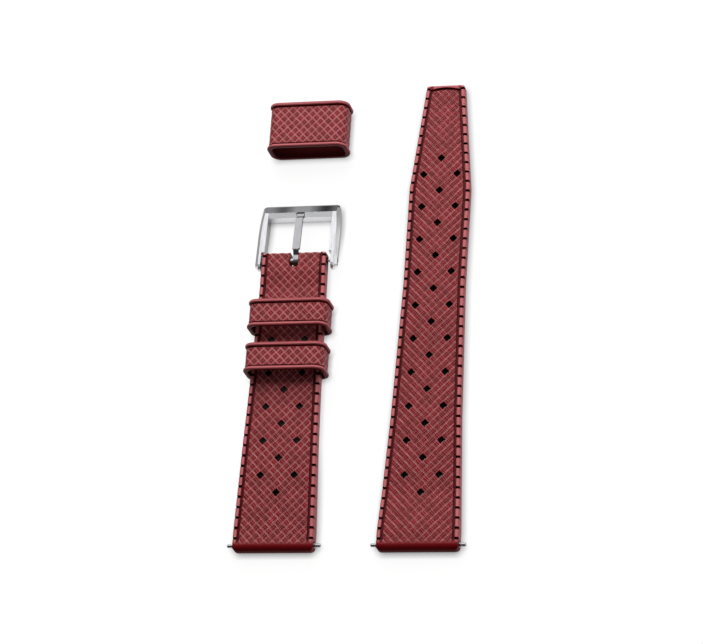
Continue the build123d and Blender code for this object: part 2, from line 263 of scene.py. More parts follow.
def skin(name, verts, rows, weave, masks, joined=False):
    """Mesh over rows of point numbers, each row a closed ring. Each square is split along the weave line that
    passes nearest, so that the lines stay straight. Open ends are capped, or the last row joins the first.
    Weave counts the cells across and along at each point, and the masks say where each finish lies."""
    faces = []
    ring = len(rows[0])
    following = rows[1:] + rows[:1] if joined else rows[1:]
    for row, after in zip(rows, following):
        for k in range(ring):
            n = (k + 1) % ring
            quad = (row[k], row[n], after[n], after[k])
            across = sum(weave[q][0] for q in quad) / 4
            along = sum(weave[q][1] for q in quad) / 4
            rising = abs(along + across - round(along + across))
            falling = abs(along - across - round(along - across))
            halves = ((0, 1, 2), (0, 2, 3)) if falling < rising else ((0, 1, 3), (1, 2, 3))
            for half in halves:
                face = [quad[c] for c in half]
                if len(set(face)) == 3:
                    faces.append(face)
    if not joined:
        faces.append(rows[0][::-1])
        faces.append(rows[-1])
    mesh = bpy.data.meshes.new(name)
    mesh.from_pydata(verts, [], faces)
    cells = mesh.attributes.new("weave", "FLOAT_VECTOR", "POINT")
    cells.data.foreach_set("vector", np.array([(u, v, 0) for u, v in weave], dtype=np.float32).ravel())
    for mask, values in masks.items():
        mesh.attributes.new(mask, "FLOAT", "POINT").data.foreach_set("value", values)
    return mesh


def moulded_blank(name, length, plan, top, bottom, far_nose, field_end, arch):
    """One half before it is woven and cut: a closed skin of rows across and steps along."""
    verts, rings = [], []
    masks = {"field": [], "groove": [], "crest": []}

    def add_point(x, y, z, field=0.0, groove=0.0, crest=0.0):
        for mask, value in zip(masks.values(), (field, groove, crest)):
            mask.append(value)
        verts.append((x, y, z))
        return len(verts) - 1

    widest = max(p[0] for p in plan) - rim_width - groove_width
    reach = int(widest / step_across) + 2
    for v, pinch in rows_along(length, far_nose, field_end):
        width = half_width_at(plan, v, length)
        high = float(np.interp(v, *top)) - pinch
        low = float(np.interp(v, *bottom)) + pinch
        half_thick = (high - low) / 2
        settled = max(0.0, min(1.0, (v - field_start) / field_settle))
        inside = v < field_end
        woven = settled if v <= field_end - groove_width else 0.0
        past_lip = (v - field_end + bow_reach) / bow_reach
        bow = arch * max(0.0, min(1.0, past_lip, (length - v) / (length - field_end)))
        edge = width - rim_width - groove_width
        last = int((edge - edge_clearance * step_across) / step_across)
        sunk = field_drop if woven else groove_depth if inside else 0
        level = high - min(sunk * settled, half_thick)
        across, made = [], {}
        for k in range(-reach, reach + 1):
            held = max(-last - 1, min(last + 1, k))
            if held not in made:
                x = held * step_across if abs(held) <= last else copysign(edge, held)
                made[held] = add_point(x, v - bow * (x / edge) ** 2, level, field=woven,
                                       groove=groove_shade_share * settled * (inside and not woven),
                                       crest=wall_sheen * (v > field_end))
            across.append(made[held])
        rims = {}
        for side in (-1, 1):
            rim = []
            for inset, drop, dark, sheen in groove_points:
                y = v - bow if inset >= rim_width else v
                z = high - min(drop * settled * inside, half_thick)
                rim.append(add_point(side * (width - inset), y, z,
                                     groove=groove_shade_share * settled * inside * dark, crest=sheen * settled))
            for inset, drop, sheen in side_points:
                z = high - min(drop, half_thick)
                rim.append(add_point(side * (width - inset), v, z, crest=sheen * settled))
            for inset, rise, sheen in foot_points:
                z = low + min(rise, half_thick)
                rim.append(add_point(side * (width - inset), v, z, crest=sheen * settled))
            rims[side] = rim
        rings.append(rims[-1][::-1] + across + rims[1])
    weave = [(x / cell_across, (y - first_hole) / cell_along + 0.5) for x, y, _ in verts]
    return skin(name, verts, rings, weave, masks)


def weave_cells(tree, place, seed):
    """Reads the basket weave at a place that counts cells across and along. Over tells which ribbon is on
    top, width and length run from 0 to 1 across that ribbon and along one cell of it, and own gives each cell
    its own fixed chance."""
    math = "ShaderNodeMath"
    split = add_node(tree, "ShaderNodeSeparateXYZ", {}, {0: place})
    across, along = split.outputs[0], split.outputs[1]
    rising = add_node(tree, math, {"operation": "ADD"}, {0: along, 1: across})
    falling = add_node(tree, math, {"operation": "SUBTRACT"}, {0: along, 1: across})
    rising_part = add_node(tree, math, {"operation": "FRACT"}, {0: rising})
    falling_part = add_node(tree, math, {"operation": "FRACT"}, {0: falling})
    rising_cell = add_node(tree, math, {"operation": "FLOOR"}, {0: rising})
    falling_cell = add_node(tree, math, {"operation": "FLOOR"}, {0: falling})
    cells = add_node(tree, math, {"operation": "ADD"}, {0: rising_cell, 1: falling_cell})
    over = add_node(tree, math, {"operation": "FLOORED_MODULO"}, {0: cells, 1: 2.0})
    width = add_node(tree, "ShaderNodeMix", {"data_type": "FLOAT"},
                     {"Factor": over, "A": rising_part, "B": falling_part})
    length = add_node(tree, "ShaderNodeMix", {"data_type": "FLOAT"},
                      {"Factor": over, "A": falling_part, "B": rising_part})
    own = add_node(tree, "ShaderNodeCombineXYZ", {}, {0: rising_cell, 1: falling_cell, 2: seed})
    return {"across": across, "over": over, "width": width, "length": length, "own": own,
            "rising": rising_part, "falling": falling_part}


def woven_relief():
    """Raises the two crossing sets of flat ribbons, with a raised edge along each ribbon, a crown along each
    cell and a dip where it goes under. Chevron weakens the edges that lean inwards on each side."""
    tree = bpy.data.node_groups.new("woven_relief", "GeometryNodeTree")
    sockets = tree.interface
    sockets.new_socket("Geometry", in_out="INPUT", socket_type="NodeSocketGeometry")
    sizes = {"Ridge Height": 0.1, "Dip Depth": 0.12, "Crown": 0.05, "Ridge Share": 0.075, "Dip Share": 0.22,
             "Chevron": 0.0, "Seed": chance_seed}
    for size, value in sizes.items():
        sockets.new_socket(size, in_out="INPUT", socket_type="NodeSocketFloat").default_value = value
    sockets.new_socket("Rubber", in_out="INPUT", socket_type="NodeSocketMaterial")
    sockets.new_socket("Geometry", in_out="OUTPUT", socket_type="NodeSocketGeometry")
    given = add_node(tree, "NodeGroupInput").outputs
    math = "ShaderNodeMath"
    chevron_reach = 2.0
    uneven = 0.45
    named = "GeometryNodeInputNamedAttribute"
    place = add_node(tree, named, {"data_type": "FLOAT_VECTOR"}, {"Name": "weave"})
    field = add_node(tree, named, {"data_type": "FLOAT"}, {"Name": "field"})
    cell = weave_cells(tree, place, given["Seed"])
    to_end = add_node(tree, math, {"operation": "PINGPONG"}, {0: cell["length"], 1: 0.5})
    dip = add_node(tree, math, {"operation": "DIVIDE"}, {0: to_end, 1: given["Dip Share"]})
    dip = add_node(tree, math, {"operation": "SUBTRACT", "use_clamp": True}, {0: 1.0, 1: dip})
    side = add_node(tree, "ShaderNodeMapRange", {},
                    {"Value": cell["across"], "From Min": -chevron_reach, "From Max": chevron_reach,
                     "To Min": -1.0, "To Max": 1.0})
    lines = []
    for part, lean in (("rising", 0.5), ("falling", -0.5)):
        to_line = add_node(tree, math, {"operation": "PINGPONG"}, {0: cell[part], 1: 0.5})
        line = add_node(tree, math, {"operation": "DIVIDE"}, {0: to_line, 1: given["Ridge Share"]})
        line = add_node(tree, math, {"operation": "SUBTRACT", "use_clamp": True}, {0: 1.0, 1: line})
        weak = add_node(tree, math, {"operation": "MULTIPLY_ADD"}, {0: side, 1: lean, 2: 0.5})
        weak = add_node(tree, math, {"operation": "MULTIPLY"}, {0: weak, 1: given["Chevron"]})
        strong = add_node(tree, math, {"operation": "SUBTRACT"}, {0: 1.0, 1: weak})
        lines.append(add_node(tree, math, {"operation": "MULTIPLY"}, {0: line, 1: strong}))
    ridge = add_node(tree, math, {"operation": "MAXIMUM"}, {0: lines[0], 1: lines[1]})
    chance = add_node(tree, "ShaderNodeTexWhiteNoise", {"noise_dimensions": "3D"}, {"Vector": cell["own"]})
    chance = add_node(tree, math, {"operation": "MULTIPLY_ADD"}, {0: chance, 1: uneven, 2: 1 - uneven})
    ridge = add_node(tree, math, {"operation": "MULTIPLY"}, {0: ridge, 1: chance})
    ridge = add_node(tree, math, {"operation": "MULTIPLY"}, {0: ridge, 1: field})
    crown = add_node(tree, math, {"operation": "MULTIPLY"}, {0: to_end, 1: given["Crown"]})
    rise = add_node(tree, math, {"operation": "MULTIPLY"}, {0: ridge, 1: given["Ridge Height"]})
    fall = add_node(tree, math, {"operation": "MULTIPLY"}, {0: dip, 1: given["Dip Depth"]})
    height = add_node(tree, math, {"operation": "SUBTRACT"}, {0: crown, 1: fall})
    height = add_node(tree, math, {"operation": "MULTIPLY_ADD"}, {0: height, 1: field, 2: rise})
    normal = add_node(tree, "GeometryNodeInputNormal")
    offset = add_node(tree, "ShaderNodeVectorMath", {"operation": "SCALE"}, {0: normal, "Scale": height})
    moved = add_node(tree, "GeometryNodeSetPosition", {}, {"Geometry": given["Geometry"], "Offset": offset})
    # The ridge is also kept for the material, which paints a highlight along the raised edges.
    kept = add_node(tree, "GeometryNodeStoreNamedAttribute", {"data_type": "FLOAT", "domain": "POINT"},
                    {"Geometry": moved, "Name": "ridge", "Value": ridge})
    real = add_node(tree, "GeometryNodeRealizeInstances", {}, {"Geometry": kept})
    done = add_node(tree, "GeometryNodeSetMaterial", {}, {"Geometry": real, "Material": given["Rubber"]})
    add_node(tree, "NodeGroupOutput", {}, {"Geometry": done})
    return tree


def punched_strap():
    """Cuts the holes, the rim's notches, the bores and the slot out of a moulded half. The pins for the holes
    reach a little above its top and right through it."""
    tree = bpy.data.node_groups.new("punched_strap", "GeometryNodeTree")
    sockets = tree.interface
    sockets.new_socket("Geometry", in_out="INPUT", socket_type="NodeSocketGeometry")
    sizes = {"Hole Pitch": hole_pitch, "Hole Side": hole_side, "Hole Diagonal": hole_diagonal,
             "First Hole": first_hole, "Hole Draft": hole_draft, "Notch Width": notch_width,
             "Notch Depth": notch_depth, "Notch Reach": notch_reach, "Pin Above": 0.4, "Pin Below": 5.0,
             "Start Height": 20.0}
    for size, value in sizes.items():
        sockets.new_socket(size, in_out="INPUT", socket_type="NodeSocketFloat").default_value = value
    for count in ("Hole Count", "Notch Count"):
        sockets.new_socket(count, in_out="INPUT", socket_type="NodeSocketInt")
    for cutter in ("Rim Line", "Bores", "Slot"):
        sockets.new_socket(cutter, in_out="INPUT", socket_type="NodeSocketObject")
    sockets.new_socket("Rubber", in_out="INPUT", socket_type="NodeSocketMaterial")
    sockets.new_socket("Geometry", in_out="OUTPUT", socket_type="NodeSocketGeometry")
    given = add_node(tree, "NodeGroupInput").outputs
    math = "ShaderNodeMath"
    xyz = "ShaderNodeCombineXYZ"

    # The middle row has one hole more. All are dropped onto the rubber's top from above.
    half_pitch = add_node(tree, math, {"operation": "MULTIPLY"}, {0: given["Hole Pitch"], 1: 0.5})
    second = add_node(tree, math, {"operation": "ADD"}, {0: given["First Hole"], 1: half_pitch})
    other_side = add_node(tree, math, {"operation": "MULTIPLY"}, {0: given["Hole Side"], 1: -1.0})
    fewer = add_node(tree, math, {"operation": "SUBTRACT"}, {0: given["Hole Count"], 1: 1.0})
    pitch = add_node(tree, xyz, {}, {"Y": given["Hole Pitch"]})
    rows = {
        "middle": (given["Hole Count"], {"Y": given["First Hole"]}),
        "right": (fewer, {"X": given["Hole Side"], "Y": second}),
        "left": (fewer, {"X": other_side, "Y": second}),
    }
    places = add_node(tree, "GeometryNodeJoinGeometry")
    for count, start in rows.values():
        first = add_node(tree, xyz, {}, start)
        row = add_node(tree, "GeometryNodeMeshLine", {},
                       {"Count": count, "Start Location": first, "Offset": pitch})
        tree.links.new(row.outputs[0], places.inputs[0])
    lift = add_node(tree, xyz, {}, {"Z": given["Start Height"]})
    lifted = add_node(tree, "GeometryNodeSetPosition", {}, {"Geometry": places, "Offset": lift})
    drop = add_node(tree, "GeometryNodeRaycast", {"data_type": "FLOAT"},
                    {"Target Geometry": given["Geometry"], "Ray Direction": (0, 0, -1), "Ray Length": 100.0})
    landed = add_node(tree, "GeometryNodeSetPosition", {},
                      {"Geometry": lifted, "Position": drop.outputs["Hit Position"]})

    # The mould's pin for a hole is a drafted pyramid with its corners along and across the strap.
    wide = add_node(tree, math, {"operation": "MULTIPLY"}, {0: given["Hole Diagonal"], 1: 0.5})
    top_radius = add_node(tree, math, {"operation": "MULTIPLY_ADD"},
                          {0: given["Pin Above"], 1: given["Hole Draft"], 2: wide})
    narrower = add_node(tree, math, {"operation": "MULTIPLY"},
                        {0: given["Pin Below"], 1: given["Hole Draft"]})
    low_radius = add_node(tree, math, {"operation": "SUBTRACT"}, {0: wide, 1: narrower})
    tall = add_node(tree, math, {"operation": "ADD"}, {0: given["Pin Above"], 1: given["Pin Below"]})
    pin = add_node(tree, "GeometryNodeMeshCone", {},
                   {"Vertices": 4, "Radius Top": top_radius, "Radius Bottom": low_radius, "Depth": tall})
    under = add_node(tree, math, {"operation": "MULTIPLY"}, {0: given["Pin Below"], 1: -1.0})
    under = add_node(tree, xyz, {}, {"Z": under})
    pin = add_node(tree, "GeometryNodeTransform", {}, {"Geometry": pin.outputs["Mesh"], "Translation": under})
    holes = add_node(tree, "GeometryNodeInstanceOnPoints", {}, {"Points": landed, "Instance": pin})

    # Notches stand at equal steps along the rim's line on both sides.
    rim_line = add_node(tree, "GeometryNodeObjectInfo", {}, {"Object": given["Rim Line"]})
    rim_curve = add_node(tree, "GeometryNodeMeshToCurve", {}, {"Mesh": rim_line.outputs["Geometry"]})
    rim_points = add_node(tree, "GeometryNodeResampleCurve", {},
                          {"Curve": rim_curve, "Count": given["Notch Count"]})
    twice = add_node(tree, math, {"operation": "MULTIPLY"}, {0: given["Notch Depth"], 1: 2.0})
    notch_size = add_node(tree, xyz, {}, {"X": given["Notch Reach"], "Y": given["Notch Width"], "Z": twice})
    notch = add_node(tree, "GeometryNodeMeshCube", {}, {"Size": notch_size})
    notches = add_node(tree, "GeometryNodeInstanceOnPoints", {},
                       {"Points": rim_points, "Instance": notch.outputs["Mesh"]})

    # Faces cut by a pin or a notch are marked, so that the material can paint them dark as shade.
    cutters = add_node(tree, "GeometryNodeJoinGeometry")
    tree.links.new(holes.outputs[0], cutters.inputs[0])
    tree.links.new(notches.outputs[0], cutters.inputs[0])
    real_cutters = add_node(tree, "GeometryNodeRealizeInstances", {}, {"Geometry": cutters})
    store = "GeometryNodeStoreNamedAttribute"
    on_faces = {"data_type": "FLOAT", "domain": "FACE"}
    uncut = add_node(tree, store, on_faces, {"Geometry": given["Geometry"], "Name": "cut", "Value": 0.0})
    marked = add_node(tree, store, on_faces, {"Geometry": real_cutters, "Name": "cut", "Value": 1.0})
    take_away = {"operation": "DIFFERENCE", "solver": "MANIFOLD"}
    cut = add_node(tree, "GeometryNodeMeshBoolean", take_away, {"Mesh 1": uncut, "Mesh 2": marked})
    for cutter in ("Bores", "Slot"):
        tool = add_node(tree, "GeometryNodeObjectInfo", {}, {"Object": given[cutter]})
        cut = add_node(tree, "GeometryNodeMeshBoolean", take_away,
                       {"Mesh 1": cut, "Mesh 2": tool.outputs["Geometry"]})
    real = add_node(tree, "GeometryNodeRealizeInstances", {}, {"Geometry": cut})
    done = add_node(tree, "GeometryNodeSetMaterial", {}, {"Geometry": real, "Material": given["Rubber"]})
    add_node(tree, "NodeGroupOutput", {}, {"Geometry": done})
    return tree


def give_nodes(piece, tree, values):
    """Puts a tree on a piece and sets its named inputs by their identifiers."""
    modifier = piece.modifiers.new(tree.name, "NODES")
    modifier.node_group = tree
    ids = {item.name: item.identifier for item in tree.interface.items_tree if item.in_out == "INPUT"}
    for name, value in values.items():
        modifier[ids[name]] = value


def finish_piece(piece, place):
    """Turns the piece with its modifiers into a plain mesh in metres, at its place in the frame."""
    bpy.context.view_layer.update()
    ready = piece.evaluated_get(bpy.context.evaluated_depsgraph_get())
    mesh = bpy.data.meshes.new_from_object(ready)
    mesh.name = piece.name
    piece.modifiers.clear()
    piece.data = mesh
    mesh.transform(Matrix.Translation([MM * v for v in place]) @ Matrix.Scale(MM, 4))
    mesh.shade_smooth()
    mesh.set_sharp_from_angle(angle=radians(sharp_angle))


def cylinder_mesh(name, radius, length, places, sides=32):
    """Plain cylinders along X about each place, for the bores."""
    verts, faces = [], []
    for y, z in places:
        base = len(verts)
        for x in (-length / 2, length / 2):
            for k in range(sides):
                angle = 2 * pi * k / sides
                verts.append((x, y + radius * cos(angle), z + radius * sin(angle)))
        faces.append([base + k for k in range(sides)][::-1])
        faces.append([base + sides + k for k in range(sides)])
        for k in range(sides):
            n = (k + 1) % sides
            faces.append([base + k, base + n, base + sides + n, base + sides + k])
    mesh = bpy.data.meshes.new(name)
    mesh.from_pydata(verts, [], faces)
    return mesh


def rubber_material():
    """Moulded dark red rubber. Each woven cell has fine crossed ribs and its own tone, redder or browner; the
    ribs carry painted light and shade, and each cell is painted darker as shade at its ends, where it dips.
    The raised edges of the ribbons carry a painted highlight, the smooth rims, walls and bead crests a
    painted sheen, and the grooves, the keepers' insides and the faces cut for holes and notches are painted
    dark as shade."""
    material, tree = new_material("moulded_red_rubber")
    math = "ShaderNodeMath"
    mix = "ShaderNodeMix"
    color = {"data_type": "RGBA"}
    # The real ribs are 0.32 mm apart, too fine to show, so there are only three to a cell, 0.5 mm apart.
    ribs_per_cell = 3.0
    rib_depth = 0.06
    rib_shade_contrast = 2.4
    rib_valley_shade = 0.25
    tone_spread = 0.2
    redder_over, redder_always, redder_by_chance = 0.3, 0.1, 0.6
    dip_shade_share, dip_shade_tone = 0.14, 0.45
    groove_shade_strength = 0.95
    edge_highlight_gain = 1.4
    place = add_node(tree, "ShaderNodeAttribute", {"attribute_name": "weave"})
    field = add_node(tree, "ShaderNodeAttribute", {"attribute_name": "field"}).outputs["Fac"]
    ridge = add_node(tree, "ShaderNodeAttribute", {"attribute_name": "ridge"}).outputs["Fac"]
    cut = add_node(tree, "ShaderNodeAttribute", {"attribute_name": "cut"}).outputs["Fac"]
    groove = add_node(tree, "ShaderNodeAttribute", {"attribute_name": "groove"}).outputs["Fac"]
    crest = add_node(tree, "ShaderNodeAttribute", {"attribute_name": "crest"}).outputs["Fac"]
    cell = weave_cells(tree, place.outputs["Vector"], chance_seed)
    ribs = []
    for part in ("length", "width"):
        count = add_node(tree, math, {"operation": "MULTIPLY"}, {0: cell[part], 1: ribs_per_cell})
        rib = add_node(tree, math, {"operation": "PINGPONG"}, {0: count, 1: 0.5})
        ribs.append(add_node(tree, math, {"operation": "MULTIPLY"}, {0: rib, 1: 2.0}))
    rib = add_node(tree, math, {"operation": "MULTIPLY_ADD"}, {0: ribs[1], 1: 0.5, 2: 0.5})
    for factor in (ribs[0], ribs[0], field):
        rib = add_node(tree, math, {"operation": "MULTIPLY"}, {0: rib, 1: factor})
    noise = add_node(tree, "ShaderNodeTexWhiteNoise", {"noise_dimensions": "3D"}, {"Vector": cell["own"]})
    redder = add_node(tree, math, {"operation": "MULTIPLY_ADD", "use_clamp": True},
                      {0: cell["over"], 1: redder_over, 2: redder_always})
    redder = add_node(tree, math, {"operation": "MULTIPLY_ADD", "use_clamp": True},
                      {0: noise, 1: redder_by_chance, 2: redder})
    # Painted shade where each ribbon dips under the next: the colour darkens towards a cell's ends.
    to_end = add_node(tree, math, {"operation": "PINGPONG"}, {0: cell["length"], 1: 0.5})
    sunk = add_node(tree, "ShaderNodeMapRange", {},
                    {"Value": to_end, "From Max": dip_shade_share, "To Min": dip_shade_tone})
    tone = add_node(tree, math, {"operation": "MULTIPLY_ADD"},
                    {0: noise, 1: tone_spread, 2: 1 - tone_spread / 2})
    # Painted light and shade of the ribs: the colour is darkened in their valleys and lifted on their tops.
    shade = add_node(tree, math, {"operation": "MULTIPLY_ADD"}, {0: rib, 1: rib_shade_contrast, 2: rib_valley_shade})
    for factor in (tone, sunk):
        shade = add_node(tree, math, {"operation": "MULTIPLY"}, {0: shade, 1: factor})
    hue = add_node(tree, mix, color, {"Factor": redder, "A": hex_color("#8f3436"), "B": hex_color("#972f35")})
    woven = add_node(tree, mix, {"data_type": "RGBA", "blend_type": "MULTIPLY"},
                     {"Factor": 1.0, "A": hue.outputs["Result"], "B": shade})
    paint = add_node(tree, mix, color,
                     {"Factor": field, "A": hex_color("#7c0c12"), "B": woven.outputs["Result"]})
    # Painted shade in the grooves and inside the keepers.
    groove = add_node(tree, math, {"operation": "MULTIPLY"}, {0: groove, 1: groove_shade_strength})
    # Painted highlight along the ribbons' raised edges.
    edge = add_node(tree, math, {"operation": "MULTIPLY", "use_clamp": True}, {0: ridge, 1: edge_highlight_gain})
    for mask, code in ((groove, "#280406"), (crest, "#cc7478"), (edge, "#e29c9c"), (cut, "#260406")):
        paint = add_node(tree, mix, color,
                         {"Factor": mask, "A": paint.outputs["Result"], "B": hex_color(code)})
    bump = add_node(tree, "ShaderNodeBump", {}, {"Strength": 0.9, "Distance": MM * rib_depth, "Height": rib})
    surface = add_node(tree, "ShaderNodeBsdfPrincipled", {},
                       {"Base Color": paint.outputs["Result"], "Roughness": 0.5, "Specular IOR Level": 0.12,
                        "Normal": bump})
    add_node(tree, "ShaderNodeOutputMaterial", {}, {"Surface": surface})
    return material


relief_tree = woven_relief()
punch_tree = punched_strap()
rubber = rubber_material()


def make_half(name, node, shape, first_notch, chevron, bores, slot=None):
    """Moulds, weaves and cuts one half, and puts it in its node's place."""
    length = shape["length"]
    half = loose_object(name, moulded_blank(name, **shape))
    span = length - last_notch_inset - first_notch
    notches = round(span / notch_pitch) + 1
    steps = notches * 2 - 1
    line_verts, line_edges = [], []
    for side in (-1, 1):
        base = len(line_verts)
        for k in range(steps + 1):
            v = first_notch + span * k / steps
            x = half_width_at(shape["plan"], v, length) - rim_width + notch_reach / 2
            line_verts.append((side * x, v, float(np.interp(v, *shape["top"]))))
        line_edges += [(base + k, base + k + 1) for k in range(steps)]
    line_mesh = bpy.data.meshes.new("rim_line")
    line_mesh.from_pydata(line_verts, line_edges, [])
    cutters = {
        "Rim Line": loose_object("rim_line", line_mesh),
        "Bores": loose_object("bores", cylinder_mesh("bores", bore_radius, 2 * lug_width, bores)),
    }
    if slot:
        cutters["Slot"] = slot
    holes = int((length - first_hole - hole_margin) / hole_pitch) + 1
    give_nodes(half, relief_tree, {"Chevron": chevron, "Rubber": rubber})
    give_nodes(half, punch_tree, {"Hole Count": holes, "Notch Count": notches, "Rubber": rubber, **cutters})
    low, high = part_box(node)
    finish_piece(half, ((low[0] + high[0]) / 2 / MM, low[1] / MM, low[2] / MM))
    for cutter in cutters.values():
        bpy.data.objects.remove(cutter)
    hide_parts(node)
    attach(half, node)


# The long half is one flat moulding with 31 holes that lies on the table. It narrows in two steps, and its
# tip is closed by a low bar whose inner edge is arched. A spring bar goes through its lug end.
# A plan gives half widths and their places along the half, and a top or a bottom gives places and heights.
long_length = 120.0
tip_bar = 0.6
tip_arch = 0.45
long_shape = {
    "length": long_length,
    "plan": [(lug_width / 2, 0.0), (lug_width / 2, lug_straight), (8.45, 33.6), (7.5, 67.2), (7.5, 92.4),
             (4.7, long_length)],
    "top": ([0, lug_straight, 14.0, long_length],
            [lug_thickness, lug_thickness, body_thickness, body_thickness]),
    "bottom": ([0, long_length], [0, 0]),
    "far_nose": 0.35,
    "field_end": long_length - tip_bar,
    "arch": tip_arch,
}
make_half("woven_long_half", "strap_long", long_shape, first_notch=2.8, chevron=0.75, bores=[lug_bore])

# The short half is moulded like the long one, with 16 holes. It rises from the table to lie in its keepers
# and thickens again round the buckle's bar. Its field runs right out to the end, where a slot lets the tongue
# swing.
short_length = 75.8
strap_rise = 1.3
end_thickness = 3.3
rise_start, rise_end, thicken_start, thicken_end = 4.5, 27.0, 66.8, 70.8
buckle_bore = (73.85, strap_rise + end_thickness / 2)
slot_half_width = 1.1
slot_end = 71.99
slot_corner = 0.6
slot_corner_steps = 6
slot_overrun = 2.0
slot_low, slot_high = -1, 8
body_top = strap_rise + body_thickness
end_top = strap_rise + end_thickness
short_shape = {
    "length": short_length,
    "plan": [(lug_width / 2, 0.0), (lug_width / 2, lug_straight), (8.7, 40.174), (8.0, short_length)],
    "top": ([0, rise_start, rise_end, thicken_start, thicken_end, short_length],
            [lug_thickness, lug_thickness, body_top, body_top, end_top, end_top]),
    "bottom": ([0, rise_start, rise_end, short_length], [0, 0, strap_rise, strap_rise]),
    "far_nose": 0.6,
    "field_end": short_length + slot_overrun,
    "arch": 0.0,
}
outline = [(slot_half_width, short_length + slot_overrun)]
for side in (1, -1):
    centre = slot_half_width - slot_corner
    turns = [pi / 2 * k / slot_corner_steps for k in range(slot_corner_steps + 1)]
    bend = [(side * (centre + slot_corner * cos(t)), slot_end + slot_corner * (1 - sin(t))) for t in turns]
    outline += bend if side > 0 else bend[::-1]
outline.append((-slot_half_width, short_length + slot_overrun))
count = len(outline)
slot_verts = [(x, y, z) for z in (slot_low, slot_high) for x, y in outline]
slot_faces = [list(range(count)), list(range(count, 2 * count))[::-1]]
slot_faces += [[k, k + count, (k + 1) % count + count, (k + 1) % count] for k in range(count)]
slot_mesh = bpy.data.meshes.new("slot")
slot_mesh.from_pydata(slot_verts, [], slot_faces)
make_half("woven_short_half", "strap_short", short_shape, first_notch=3.1, chevron=0.35,
          bores=[lug_bore, buckle_bore], slot=loose_object("slot", slot_mesh))

# Keepers are moulded loops of the same rubber with a bead round each mouth. Their outer face has the same
# woven field between two grooves, and the inside is smooth. Two are pushed onto the short half, and a longer
# spare lies loose.
keeper_wall = 0.8
keeper_head_radius = 2.25
bead_rise = 0.4
bead_width = 0.9
bead_foot = 0.1
bead_steps = 12
crest_steps = (5, 6)
# Painted sheen along each bead, strongest on its crest.
bead_sheen = 0.4
keeper_groove = 0.35
keeper_groove_depth = 0.3
mouth_bevel = 0.1
mouth_round = 0.25
inside_steps = 8
# The keepers' insides carry the same painted shade as the grooves.
inside_shade_share = 0.5
corner_steps = 20
cells_round = 24


def ring_section(half_wide, half_high, foot_radius, head_radius, counts):
    """Points round a rectangle with rounded corners, from the right end of its top, with the given counts of
    steps for each corner, side and flat."""
    runs = [
        ((half_wide - head_radius, half_high - head_radius), head_radius, 90),
        ((half_wide - foot_radius, foot_radius - half_high), foot_radius, 0),
        ((foot_radius - half_wide, foot_radius - half_high), foot_radius, -90),
        ((head_radius - half_wide, half_high - head_radius), head_radius, 180),
    ]
    arcs = []
    for (x, z), radius, start in runs:
        turns = [radians(start - 90 * k / counts["corner"]) for k in range(counts["corner"] + 1)]
        arcs.append([np.array((x + radius * cos(a), z + radius * sin(a))) for a in turns])
    straights = (counts["side"], counts["flat"], counts["side"], counts["flat"])
    points = []
    for arc, after, count in zip(arcs, arcs[1:] + arcs[:1], straights):
        points += arc
        points += [arc[-1] + (after[0] - arc[-1]) * k / count for k in range(1, count)]
    return points


def make_keeper(name, node, foot_radius, inner_foot_radius):
    """One keeper, put in its node's place: closed rows round the loop, over its outside and back inside."""
    low, high = [np.array(c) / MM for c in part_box(node)]
    half_bead = (high - low) / 2
    half_wide, half_high = half_bead[0] - bead_rise, half_bead[2] - bead_rise
    length = high[1] - low[1]
    mouth = length / 2
    side_steps = int((2 * half_high - keeper_head_radius - foot_radius) / step_across)
    flat_steps = cells_round * steps_per_cell // 2 - 2 * corner_steps - side_steps
    counts = {"corner": corner_steps, "side": side_steps, "flat": flat_steps}
    # The weave is counted from a place on the underside.
    weave_start = 3 * corner_steps + side_steps + flat_steps // 2
    field_half = mouth - bead_width - keeper_groove
    field_rows = int(2 * field_half / step_along)
    outside = [(-field_half + 2 * field_half * k / field_rows, 0.0, "field") for k in range(field_rows + 1)]
    edge = [(field_half + lip_lap, -keeper_groove_depth, "groove"),
            (mouth - bead_width - lip_lap, -keeper_groove_depth, "groove"),
            (mouth - bead_width, bead_foot, None)]
    for k in range(1, bead_steps):
        angle = pi * k / bead_steps
        y = mouth - bead_width / 2 * (1 + cos(angle))
        offset = bead_foot + (bead_rise - bead_foot) * sin(angle)
        edge.append((y, offset, "crest" if k in crest_steps else "bead"))
    edge += [(mouth, bead_foot, None), (mouth - lip_lap, -keeper_wall / 2, None),
             (mouth - mouth_bevel, -keeper_wall + mouth_bevel, None),
             (mouth - mouth_round, -keeper_wall, "inside")]
    inside_length = length - 2 * mouth_round
    inside = [(mouth - mouth_round - inside_length * k / inside_steps, -keeper_wall, "inside")
              for k in range(1, inside_steps)]
    profile = outside + edge + inside + [(-y, offset, part) for y, offset, part in edge[::-1]]
    shares = {
        "field": {"field": 1.0},
        "groove": {"groove": groove_shade_share, "inside": inside_shade_share},
        "crest": {"crest": 1.0, "bead": bead_sheen},
    }
    verts, rows, weave = [], [], []
    masks = {mask: [] for mask in shares}
    for y, offset, part in profile:
        sunk = max(0.0, min(1.0, -offset / keeper_wall))
        foot = (foot_radius + max(offset, 0)) * (1 - sunk) + inner_foot_radius * sunk
        head = keeper_head_radius + offset
        section = ring_section(half_wide + offset, half_high + offset, foot, head, counts)
        row = []
        for k, (x, z) in enumerate(section[weave_start:] + section[:weave_start]):
            row.append(len(verts))
            verts.append((x, y, z))
            weave.append((k / steps_per_cell, ((y / field_half + 1) * field_rows + 1) / 2 / steps_per_cell))
            for mask, values in masks.items():
                values.append(shares[mask].get(part, 0.0))
        rows.append(row)
    keeper = loose_object(name, skin(name, verts, rows, weave, masks, joined=True))
    give_nodes(keeper, relief_tree, {"Chevron": 0.0, "Rubber": rubber})
    finish_piece(keeper, (low + high) / 2)
    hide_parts(node)
    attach(keeper, node)


